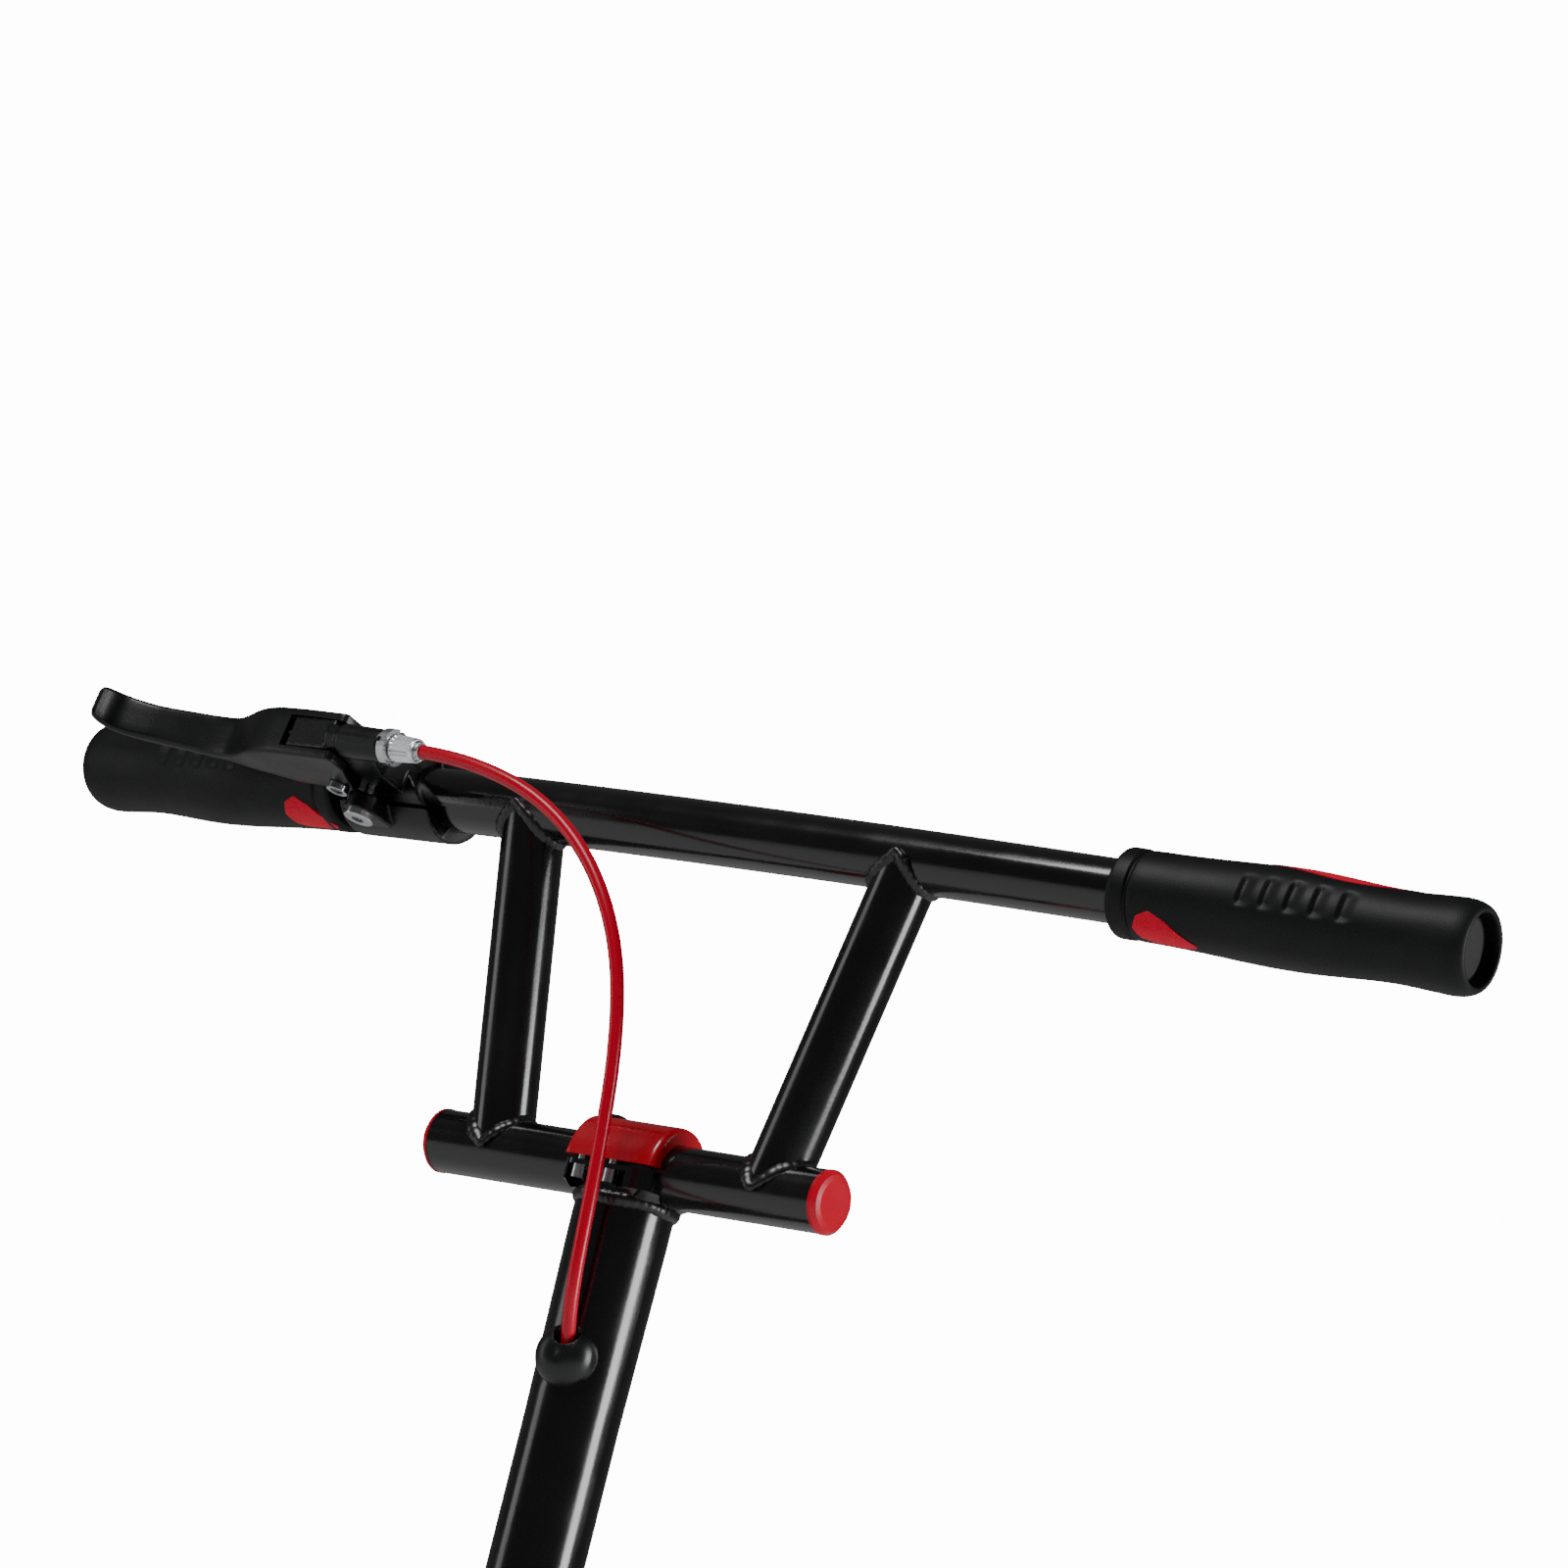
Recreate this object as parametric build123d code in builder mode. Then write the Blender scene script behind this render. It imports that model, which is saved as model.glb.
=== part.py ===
# Handlebar and steering column of a kick scooter, with its hand brake.
# Millimetres. +Z runs up the column, +X is the rider's left, the front is -Y.
# The origin is the middle of the column's lower end.
import os
from math import cos, degrees, radians, sin, tan

from build123d import *

# ---- driving dimensions -------------------------------------------------
clamp_z = 500.0            # cross tube's axis above the column's lower end
bar_rise = 120.0           # main bar's axis above the cross tube's axis
tube_r = 11.1              # 22.2 mm handlebar tube
tube_wall = 1.8
bar_half = 297.0           # along the bar, from its middle to each tube end
sweep_r = 1750.0           # the bar curves back towards the rider on this radius
stay_foot_x = 59.5         # where the stays stand on the cross tube
stay_head_x = 83.5         # where they meet the bar
cross_half = 84.0          # cross tube without its end caps

column_r = 16.5
column_wall = 2.0
column_head_r = 17.4       # the tube is swaged out under the clamp
column_top = clamp_z - 12.0
taper_low = clamp_z - 88.0
insert_mark = 100.0        # groove that limits how far the column goes into its socket

saddle_half = 19.5
saddle_depth = 16.0
joint_gap = 0.07           # radial running clearance of the cross tube in its clamp
tilt_slot = 24.0           # degrees each way that the slot in the cross tube allows

grip_half = 67.5
grip_mid = 236.5           # middle of each grip, measured along the bar
lever_s = -163.0           # brake clamp's outer face, measured along the bar
lever_tilt = 12.0          # degrees that the lever points above straight ahead

cable_r = 2.5
wire_r = 0.8
fit_gap = 0.05             # pins and threads that turn
clear = 0.4                # parts that only pass each other

bar_z = clamp_z + bar_rise
os.makedirs("parts", exist_ok=True)
volumes = {}


def save(part, name):
    """Labels a finished piece and writes it."""
    part.label = name
    volumes[name] = part.volume
    export_step(part, f"parts/{name}.step")


def bar_point(s, rear=0.0):
    """A point of the bar's axis, s along it, moved towards the rider by rear."""
    a = s / sweep_r
    r = sweep_r - rear
    return Vector(r * sin(a), sweep_r - r * cos(a), bar_z)


def bar_tangent(s):
    return Vector(cos(s / sweep_r), sin(s / sweep_r), 0)


def rod(start, end, radius, extra=0.0):
    """A round rod from start to end, in the open builder, extra longer at each end."""
    axis = (Vector(*end) - Vector(*start)).normalized()
    base = Vector(*start) - axis * extra
    length = (Vector(*end) - Vector(*start)).length + 2 * extra
    return Solid.make_cylinder(radius, length, Plane(origin=base, z_dir=axis))


def bar_solid(radius, half, bore=0.0):
    """The bar's cross section swept back on its arc, half on each side of the middle."""
    with BuildPart() as solid:
        with BuildSketch(Plane(origin=bar_point(-half), x_dir=(0, 0, 1), z_dir=bar_tangent(-half))):
            Circle(radius)
            if bore:
                Circle(bore, mode=Mode.SUBTRACT)
        revolve(axis=Axis((0, sweep_r, 0), (0, 0, 1)), revolution_arc=degrees(2 * half / sweep_r))
    return solid.part


cross_start = (-cross_half, 0, clamp_z)
cross_end = (cross_half, 0, clamp_z)

# ---- steering column ----------------------------------------------------
cable_out_turn = 11.0                       # the cable's hole sits this far round to +X
cable_out_z = clamp_z - 68.2
hole_plane = Plane(
    origin=(0, 0, cable_out_z),
    x_dir=(cos(radians(cable_out_turn)), sin(radians(cable_out_turn)), 0),
    z_dir=(sin(radians(cable_out_turn)), -cos(radians(cable_out_turn)), 0),
)
cable_hole_wide = 9.2
cable_hole_tall = 17.0

with BuildPart() as column_tube:
    with BuildSketch(Plane.XZ):
        with BuildLine():
            Polyline(
                (column_r - column_wall, 0),
                (column_r, 0),
                (column_r, insert_mark),
                (column_r - 0.6, insert_mark + 0.6),
                (column_r - 0.6, insert_mark + 1.8),
                (column_r, insert_mark + 2.4),
                (column_r, taper_low),
                (column_head_r, column_top - 10),
                (column_head_r, column_top),
                (column_head_r - column_wall, column_top),
                (column_r - column_wall, taper_low),
                close=True,
            )
        make_face()
    revolve(axis=Axis.Z)
    with BuildSketch(hole_plane):
        with Locations((0, -1.0)):
            SlotOverall(cable_hole_tall, cable_hole_wide, rotation=90)
    extrude(amount=column_r + 4, mode=Mode.SUBTRACT)

# ---- clamp saddle, welded on the column's top ---------------------------
seat_r = tube_r + joint_gap
saddle_top = clamp_z - 0.8
screw_y = 13.6
screw_r = 1.6
nut_r = 2.7
nut_high = 4.6
ledge_low = clamp_z - 2.6
pocket_low = clamp_z - 10.5
front_screws = (-12.4, 1.2)
rear_screws = (-12.4, 12.4)

with BuildPart() as clamp_saddle:
    with BuildSketch(Plane.XY.offset(column_top)):
        Circle(column_head_r)
    with BuildSketch(Plane.XY.offset(clamp_z - 8.0)):
        RectangleRounded(2 * saddle_half, 2 * saddle_depth, 5)
    loft()
    with BuildSketch(Plane.XY.offset(clamp_z - 8.0)):
        RectangleRounded(2 * saddle_half, 2 * saddle_depth, 5)
    extrude(amount=saddle_top - clamp_z + 8.0)
    # pockets for the screws' barrels, open to the front and to the rear
    with Locations((-3.6, -saddle_depth, (pocket_low + ledge_low) / 2)):
        Box(25.0, 2 * (saddle_depth - 10.6), ledge_low - pocket_low, mode=Mode.SUBTRACT)
    with Locations((0, saddle_depth, (pocket_low + ledge_low) / 2)):
        Box(32.0, 2 * (saddle_depth - 10.6), ledge_low - pocket_low, mode=Mode.SUBTRACT)
    for xs, y in ((front_screws, -screw_y), (rear_screws, screw_y)):
        for x in xs:
            with Locations((x, y, clamp_z)):
                Cylinder(screw_r + 0.1, 12, mode=Mode.SUBTRACT)
    add(rod(cross_start, cross_end, seat_r), mode=Mode.SUBTRACT)

# ---- clamp cap, over the cross tube -------------------------------------
cap_low = clamp_z + 0.8
cap_top = clamp_z + 17.0
cap_outline = [(-16.0, 0.8), (-15.2, 4.5), (-13.6, 8.5), (-10.8, 12.6), (-6.6, 15.8), (-2.0, 17.0),
               (2.0, 17.0), (6.6, 15.8), (10.8, 12.6), (13.6, 8.5), (15.2, 4.5), (16.0, 0.8)]
stop_x = -12.9
stop_head_r = 5.4
stop_seat = cap_top - 1.6

with BuildPart() as clamp_cap:
    with BuildSketch(Plane.YZ.offset(-saddle_half)):
        with BuildLine():
            crown = Spline([(y, clamp_z + z) for y, z in cap_outline])
            Line(crown @ 1, crown @ 0)
        make_face()
    extrude(amount=2 * saddle_half)
    fillet(clamp_cap.edges().filter_by(GeomType.BSPLINE), radius=2.2)
    add(rod(cross_start, cross_end, seat_r), mode=Mode.SUBTRACT)
    for xs, y in ((front_screws, -screw_y), (rear_screws, screw_y)):
        for x in xs:
            with Locations((x, y, cap_low + 1.5)):
                Cylinder(screw_r + 0.03, 3.0, mode=Mode.SUBTRACT)
    with Locations((stop_x, 0, clamp_z + 20)):
        Cylinder(3.05, 20, mode=Mode.SUBTRACT)
    with Locations((stop_x, 0, stop_seat + 5)):
        Cylinder(stop_head_r + 0.3, 10, mode=Mode.SUBTRACT)

# ---- screws that pull the cap down --------------------------------------
with BuildPart() as clamp_screws:
    for xs, y in ((front_screws, -screw_y), (rear_screws, screw_y)):
        for x in xs:
            with BuildSketch(Plane.XY.offset(ledge_low - nut_high)):
                with Locations((x, y)):
                    Circle(nut_r)
            extrude(amount=nut_high)
            with BuildSketch(Plane.XY.offset(ledge_low)):
                with Locations((x, y)):
                    Circle(screw_r)
            extrude(amount=cap_low + 2.8 - ledge_low)
            with BuildSketch(Plane.XY.offset(ledge_low - nut_high)):
                with Locations((x, y)):
                    RegularPolygon(1.5, 6)
            extrude(amount=2.4, mode=Mode.SUBTRACT)

# ---- tilt stop: its point runs in a slot of the cross tube ---------------
with BuildPart() as tilt_stop_screw:
    with BuildSketch(Plane.XZ):
        with BuildLine():
            Polyline(
                (0, clamp_z + tube_r - 1.4),
                (1.9, clamp_z + tube_r - 1.4),
                (1.9, clamp_z + tube_r + 0.5),
                (3.0, clamp_z + tube_r + 1.6),
                (3.0, stop_seat),
                (stop_head_r, stop_seat),
                (stop_head_r, stop_seat + 0.7),
            )
            ThreePointArc(
                (stop_head_r, stop_seat + 0.7),
                (3.4, stop_seat + 2.3),
                (0, stop_seat + 2.9),
            )
            Line((0, stop_seat + 2.9), (0, clamp_z + tube_r - 1.4))
        make_face()
    revolve(axis=Axis.Z)
    with BuildSketch(Plane.XY.offset(stop_seat + 4)):
        RegularPolygon(2.0, 6)
    extrude(amount=-2.8, mode=Mode.SUBTRACT)

# ---- plug in the column's lower end, with the cable's stop ---------------
plug_r = column_r - column_wall
with BuildPart() as foot_plug:
    with BuildSketch():
        Circle(plug_r)
    extrude(amount=22)
    with BuildSketch(Plane.XY.offset(8)):
        Circle(cable_r + 0.65)
    extrude(amount=20, mode=Mode.SUBTRACT)
    with BuildSketch():
        Circle(wire_r + clear)
    extrude(amount=20, mode=Mode.SUBTRACT)
    chamfer(foot_plug.edges().filter_by(GeomType.CIRCLE).sort_by(Axis.Z)[-1], 0.4)


def ferrule(cup, hole):
    """The cup on a cable's end, mouth up along +Z, floor at 0."""
    with BuildPart() as body:
        with BuildSketch(Plane.XZ):
            with BuildLine():
                Polyline((hole, 0), (cup, 0), (cup, 8), (cable_r + 0.05, 8), (cable_r + 0.05, 1), (hole, 1),
                         close=True)
            make_face()
        revolve(axis=Axis.Z)
    return body.part


ferrule_r = cable_r + 0.45
lower_ferrule = ferrule(ferrule_r, wire_r + clear).moved(Location((0, 0, 8)))

with BuildPart() as wire_lower_end:
    with BuildSketch(Plane.XY.offset(-20)):
        Circle(wire_r)
    extrude(amount=25)
    with BuildSketch(Plane.XZ.offset(-3)):
        with Locations((0, -21)):
            Circle(2.2)
    extrude(amount=6)

# ---- handlebar tubes -----------------------------------------------------
cross_bore = tube_r - tube_wall
with BuildPart() as cross_tube:
    add(rod(cross_start, cross_end, tube_r))
    add(rod(cross_start, cross_end, cross_bore, 1), mode=Mode.SUBTRACT)
    # slot for the tilt stop's point, cut round the top
    with BuildSketch(Plane.YZ.offset(stop_x - 2.2)):
        with BuildLine():
            reach = 14.0
            a = radians(tilt_slot + 11)
            Polyline(
                (0, clamp_z),
                (reach * sin(a), clamp_z + reach * cos(a)),
                (0, clamp_z + reach * 1.4),
                (-reach * sin(a), clamp_z + reach * cos(a)),
                close=True,
            )
        make_face()
    extrude(amount=4.4, mode=Mode.SUBTRACT)

bar_full = bar_solid(tube_r, bar_half)
with BuildPart() as main_bar:
    add(bar_solid(tube_r, bar_half, tube_r - tube_wall))


def stay(side):
    """One stay, coped to the cross tube below and to the bar above."""
    foot = (side * stay_foot_x, 0, clamp_z)
    head = bar_point(side * stay_head_x)
    with BuildPart() as body:
        add(rod(foot, head, tube_r))
        add(rod(foot, head, cross_bore, 1), mode=Mode.SUBTRACT)
        add(rod(cross_start, cross_end, tube_r), mode=Mode.SUBTRACT)
        add(bar_full, mode=Mode.SUBTRACT)
    solids = body.part.solids().sort_by(SortBy.VOLUME)
    return Part() + solids[-1]


def cross_cap(side):
    """Red plug of a cross tube end: a domed head on a stem."""
    with BuildPart() as body:
        with BuildSketch(Plane.XZ):
            with BuildLine():
                Polyline((0, -12), (cross_bore - 0.05, -12), (cross_bore - 0.05, 0), (tube_r + 0.2, 0),
                         (tube_r + 0.2, 1.2), (tube_r - 1.4, 2.8), (tube_r - 3.4, 3.2), (0, 3.2), close=True)
            make_face()
        revolve(axis=Axis.Z)
    place = Plane(origin=(side * cross_half, 0, clamp_z), x_dir=(0, 1, 0), z_dir=(side, 0, 0))
    return body.part.moved(place.location)


def end_plug(side):
    """Black plug in a bar end, deep inside the grip's open mouth."""
    with BuildPart() as body:
        with BuildSketch():
            Circle(cross_bore - 0.1)
        extrude(amount=-14)
        with BuildSketch():
            Circle(tube_r - 0.2)
        extrude(amount=1.6)
        fillet(body.edges().sort_by(Axis.Z)[-1], radius=0.8)
    s = side * bar_half
    place = Plane(origin=bar_point(s), x_dir=(0, 0, 1), z_dir=bar_tangent(s) * side)
    return body.part.moved(place.location)


# ---- grips -----------------------------------------------------------------
# radius against distance from the grip's inner end
grip_length = 2 * grip_half
ring_r = 15.6
grip_profile = [(9.2, 15.4), (22.0, 15.6), (34.0, 16.0), (48.0, 16.7), (60.0, 17.1), (72.0, 17.1),
                (84.0, 16.5), (97.0, 15.7), (108.0, 15.5), (120.0, 15.9), (130.5, 16.4)]
inlay_deep = 1.0


def grip_solid(grow=0.0):
    """A grip without its bore, its inner end at the origin and its outer end up +Z."""
    with BuildPart() as body:
        with BuildSketch(Plane.XZ):
            with BuildLine():
                Polyline((0, 0), (ring_r - 1.5 + grow, 0), (ring_r + grow, 1.5), (ring_r + grow, 6.8),
                         (ring_r - 1.0 + grow, 7.3), (ring_r - 1.0 + grow, 8.3), (15.4 + grow, 9.2))
                Spline([(r + grow, z) for z, r in grip_profile])
                Polyline((16.4 + grow, 130.5), (15.6 + grow, 133.6), (14.2 + grow, 135.0), (0, 135.0), (0, 0))
            make_face()
        revolve(axis=Axis.Z)
    return body.part


def grip_plane(side):
    """The inner end of a grip; its axis is the chord of the bar's arc, its +X looks forward."""
    inner, outer = bar_point(side * (grip_mid - grip_half)), bar_point(side * (grip_mid + grip_half))
    middle = bar_point(side * grip_mid)
    sag = (middle - (inner + outer) * 0.5) * 0.6
    axis = (outer - inner).normalized()
    return Plane(origin=inner + sag, x_dir=Vector(0, 0, 1).cross(axis) * -side, z_dir=axis)


def inlay_prism(side, elevation, face):
    """Column that cuts an inlay's outline out of a grip, seen from that elevation above the front."""
    e = radians(elevation)
    look = Plane(origin=(0, 0, 0), x_dir=(sin(e), side * cos(e), 0), z_dir=(cos(e), -side * sin(e), 0))
    with BuildPart() as body:
        add(face)
        extrude(amount=40)
    return body.part.moved(look.location)


def teardrop(side):
    """Drop low on the front; both grips come from one mould, so it points the same way on both."""
    middle = 17.5 if side > 0 else 21.5
    outline = [(-7.0, 0), (-4.9, -4.9), (0, -7.0), (4.9, -4.9), (7.0, 0), (7.4, 6.0), (7.0, 12.0),
               (5.4, 18.5), (0.8, 12.5), (-4.2, 6.5)]
    with BuildSketch() as sketch:
        with BuildLine():
            Polyline([(u, side * middle + z) for u, z in outline], close=True)
        make_face()
        fillet(sketch.vertices(), radius=1.6)
    return sketch.sketch


def palm_lens(side):
    """Long lens on the back of the palm swell."""
    with BuildSketch() as sketch:
        with BuildLine():
            ThreePointArc((0, side * 50), (9, side * 80), (0, side * 112))
            ThreePointArc((0, side * 112), (-9, side * 80), (0, side * 50))
        make_face()
    return sketch.sketch


def grip_pair(side):
    plane = grip_plane(side)
    drop = inlay_prism(side, -62.0, teardrop(side))
    lens = inlay_prism(side, 104.0, palm_lens(side))
    with BuildPart() as shell:
        add(grip_solid())
        add(grip_solid(-inlay_deep), mode=Mode.SUBTRACT)
        add(drop + lens, mode=Mode.INTERSECT)
    with BuildPart() as grip:
        add(grip_solid())
        add(shell.part, mode=Mode.SUBTRACT)
        # the open mouth, the bore for the bar and room for its end plug
        with BuildSketch(Plane.XY.offset(grip_length)):
            Circle(tube_r + 1.1)
        extrude(amount=-6.5, mode=Mode.SUBTRACT)
    body = grip.part.moved(plane.location)
    with BuildPart() as bored:
        add(body)
        add(bar_solid(tube_r + 0.02, bar_half + 1.0), mode=Mode.SUBTRACT)
    return bored.part, shell.part.moved(plane.location)


# ---- brake lever group, made in the lever's own frame ----------------------
# x runs inwards along the bar, y towards the rider, z up the lever's pivot
n_rear = Vector(-sin(lever_s / sweep_r), cos(lever_s / sweep_r), 0)
up = Vector(0, 0, 1) * cos(radians(lever_tilt)) + n_rear * sin(radians(lever_tilt))
lever_plane = Plane(origin=bar_point(lever_s), x_dir=bar_tangent(lever_s), z_dir=up)
lever_place = lever_plane.location

pivot_x, pivot_y, pivot_r = 9.0, -24.0, 3.0
tongue = 5.6               # half height of the perch's tongue
flange_in = tongue + 0.4   # half gap of the lever's fork
flange_out = 9.2
boss_r = 6.0
boss_end = 42.5            # x of the boss's inner face
barrel_slope = 4.0
barrel_y = -40.6           # y of the cable's axis at the boss's inner face
band_r = 15.6
spring_low = tongue - 3.4  # floor of the return spring's recess
band_end = 43.0
clamp_screw_x, clamp_screw_y = 17.0, -16.8
ear_low = 16.0             # the ear's lower face is this far under the bar's axis
split_low = 9.8            # and its upper face this far


def on_barrel(x):
    """A point of the cable's axis in the lever's frame."""
    return Vector(x, barrel_y - (boss_end - x) * tan(radians(barrel_slope)), 0)


barrel_dir = Vector(cos(radians(barrel_slope)), sin(radians(barrel_slope)), 0)


def barrel_plane(x):
    return Plane(origin=on_barrel(x), x_dir=(0, 0, 1), z_dir=barrel_dir)


with BuildPart() as lever_perch:
    # band round the bar
    with BuildSketch(Plane.YZ.offset(-1.5)):
        Circle(band_r)
    extrude(amount=band_end + 1.5)
    # ear below the split, in front of the bar, for the band screw
    with BuildSketch(Plane.XY.offset(-ear_low)):
        with Locations((clamp_screw_x, clamp_screw_y)):
            Circle(6.4)
        with Locations((clamp_screw_x, clamp_screw_y + 5.5)):
            Rectangle(12.8, 11.0)
    extrude(amount=ear_low - split_low)
    # tongue and arm from the bar to the barrel boss
    with BuildSketch(Plane.XY.offset(-tongue)):
        with BuildLine():
            Polyline((3, -4), (2.5, -24), (1.8, -29), (-1.2, -33), (-1.2, -46.2), (19, -46.2),
                     (19, -41), (36, -41), (36, -36), (31, -27), (30, -4), close=True)
        make_face()
    extrude(amount=2 * tongue)
    for x, radius in ((17.0, tongue - 0.1), (22.8, boss_r)):
        with BuildSketch(barrel_plane(x)):
            Circle(radius)
        extrude(amount=(boss_end - x) / cos(radians(barrel_slope)))
    # slanted inner edge of the band
    with BuildSketch(Plane.XZ):
        with BuildLine():
            Polyline((band_end + 2, -12), (30, 3), (27, 20), (band_end + 2, 20), close=True)
        make_face()
    extrude(amount=30, mode=Mode.SUBTRACT)
    # bores: bar, split, pivot, clamp screw, cable
    with Locations((20, -17, -split_low + 0.6)):
        Box(60, 24, 1.2, mode=Mode.SUBTRACT)
    with Locations((pivot_x, pivot_y, 0)):
        Cylinder(pivot_r + 0.03, 40, mode=Mode.SUBTRACT)
    with Locations((clamp_screw_x, clamp_screw_y, -8)):
        Cylinder(2.1, 30, mode=Mode.SUBTRACT)
    with BuildSketch(barrel_plane(-2.0)):
        Circle(wire_r + clear)
    extrude(amount=52, mode=Mode.SUBTRACT)
    # slot in front of the arm, in which the wire swings with the lever
    with Locations((6.4, -44.5, 0)):
        Box(16, 12.6, 2 * (wire_r + clear), mode=Mode.SUBTRACT)
    with BuildSketch(barrel_plane(26.0)):
        Circle(3.0 + fit_gap)
    extrude(amount=20, mode=Mode.SUBTRACT)
    # recess for the return spring
    with BuildSketch(Plane.XY.offset(spring_low)):
        with Locations((pivot_x, pivot_y)):
            Circle(pivot_r + 1.9)
    extrude(amount=10, mode=Mode.SUBTRACT)
    # slit through which the wire is laid in
    with BuildSketch(barrel_plane(15.0)):
        with Locations((2.2, -6)):
            Rectangle(1.8, 12)
    extrude(amount=30, mode=Mode.SUBTRACT)

with BuildPart() as bored_perch:
    add(lever_perch.part.moved(lever_place))
    add(bar_solid(tube_r + 0.02, bar_half), mode=Mode.SUBTRACT)

# ---- the lever: a blade with a forked root ---------------------------------
blade_front = [(-92.4, -55.2), (-90.6, -49.6), (-86.5, -45.0), (-79.0, -42.0), (-70.0, -39.9), (-55.0, -37.0),
               (-46.0, -35.6), (-39.5, -36.0), (-31.0, -39.4), (-22.0, -43.6), (-13.0, -45.9), (-3.0, -46.6)]
blade_rear = [(-10.0, -20.5), (-22.0, -25.0), (-34.0, -28.6), (-48.0, -31.0), (-62.0, -33.6), (-74.0, -35.9),
              (-83.0, -38.8), (-90.0, -43.9), (-94.6, -52.4)]
nipple_x = -8.0
nipple_r = 3.2
with BuildPart() as brake_lever:
    with BuildSketch(Plane.XY.offset(-flange_out)):
        with BuildLine():
            front = Spline(blade_front)
            Polyline((-3.0, -46.6), (21.0, -45.6), (22.0, -44.0), (20.5, -34.0), (15.4, -25.6))
            ThreePointArc((15.4, -25.6), (10.6, -17.6), (4.0, -19.8))
            Line((4.0, -19.8), (-10.0, -20.5))
            rear = Spline(blade_rear)
            ThreePointArc(rear @ 1, (-94.3, -54.7), front @ 0)
        make_face()
    extrude(amount=2 * flange_out)
    # the blade is slimmer than the fork
    for flip in (1, -1):
        with BuildSketch(Plane.XZ.offset(70)):
            with BuildLine():
                Polyline((-110, flip * 7.0), (-42, flip * 8.0), (-31, flip * flange_out),
                         (-31, flip * 14), (-110, flip * 14), close=True)
            make_face()
        extrude(amount=-60, mode=Mode.SUBTRACT)
    # fork: gap for the tongue, open in front beyond the web
    with Locations((14.0, -30.0, 0)):
        Box(34.0, 60.0, 2 * flange_in, mode=Mode.SUBTRACT)
    with BuildSketch(Plane.XY.offset(-flange_in)):
        with BuildLine():
            Polyline((-3.5, -10), (-3.5, -38.5), (-14, -34), (-22, -30), (-22, -10), close=True)
        make_face()
    extrude(amount=2 * flange_in, mode=Mode.SUBTRACT)
    with Locations((pivot_x, pivot_y, 0)):
        Cylinder(pivot_r + fit_gap, 40, mode=Mode.SUBTRACT)
    # pocket for the wire's nipple and the slit for the wire
    nipple_at = on_barrel(nipple_x)
    with Locations((nipple_x, nipple_at.Y, 0)):
        Cylinder(nipple_r + 0.05, 2 * flange_in, mode=Mode.SUBTRACT)
    with Locations((nipple_x + 3, nipple_at.Y + 0.4, 0)):
        Box(8, 2 * (wire_r + clear) + 1.4, 2 * flange_in, mode=Mode.SUBTRACT)

with BuildPart() as pivot_screw:
    with BuildSketch(Plane.XY.offset(-flange_out - 2.6)):
        with Locations((pivot_x, pivot_y)):
            Circle(3.9)
    extrude(amount=2.3)
    with BuildSketch(Plane.XY.offset(-flange_out - 2.6)):
        with Locations((pivot_x, pivot_y)):
            Circle(pivot_r)
    extrude(amount=2 * flange_out + 6.2)
    with BuildSketch(Plane.XY.offset(-flange_out - 2.6)):
        with Locations((pivot_x, pivot_y)):
            RegularPolygon(2.7, 6)
    extrude(amount=1.8, mode=Mode.SUBTRACT)

with BuildPart() as pivot_nut:
    with BuildSketch(Plane.XY.offset(flange_out + 0.3)):
        with Locations((pivot_x, pivot_y)):
            RegularPolygon(5.4, 6)
            Circle(pivot_r, mode=Mode.SUBTRACT)
    extrude(amount=3.2)

with BuildPart() as band_screw:
    with BuildSketch(Plane.XY.offset(-ear_low)):
        with Locations((clamp_screw_x, clamp_screw_y)):
            Circle(5.6)
    extrude(amount=-2.6)
    fillet(band_screw.edges().sort_by(Axis.Z)[0], radius=0.6)
    with BuildSketch(Plane.XY.offset(-ear_low)):
        with Locations((clamp_screw_x, clamp_screw_y)):
            Circle(2.0)
    extrude(amount=ear_low + 3)
    with BuildSketch(Plane.XY.offset(-ear_low - 3)):
        with Locations((clamp_screw_x, clamp_screw_y)):
            RegularPolygon(2.5, 6)
    extrude(amount=2.4, mode=Mode.SUBTRACT)

# ---- return spring, coiled round the pivot in a recess of the tongue --------
with BuildPart() as return_spring:
    with BuildSketch(Plane.XZ):
        with BuildLine():
            Line((pivot_r + 0.5, spring_low), (pivot_r + 0.5, spring_low + 3))
            for coil in (2, 1, 0):
                base = spring_low + coil
                ThreePointArc((pivot_r + 0.9, base + 1.0), (pivot_r + 1.4, base + 0.5), (pivot_r + 0.9, base))
            Line((pivot_r + 0.9, spring_low), (pivot_r + 0.5, spring_low))
            Line((pivot_r + 0.9, spring_low + 3), (pivot_r + 0.5, spring_low + 3))
        make_face()
    revolve(axis=Axis.Z)

# ---- barrel adjuster, lock ring, ferrule and wire --------------------------
ring_at = boss_end + 0.5
ring_thick = 3.4
head_at = ring_at + ring_thick + 0.5
head_long = 10.2
socket_floor = 4.0
with BuildPart() as lock_ring:
    with BuildSketch(barrel_plane(ring_at)):
        Circle(6.6)
        Circle(3.0 + fit_gap, mode=Mode.SUBTRACT)
    extrude(amount=ring_thick)
    with BuildSketch(barrel_plane(ring_at - 0.1)):
        with PolarLocations(6.6, 4):
            Rectangle(2.4, 1.9)
    extrude(amount=ring_thick + 0.2, mode=Mode.SUBTRACT)

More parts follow.
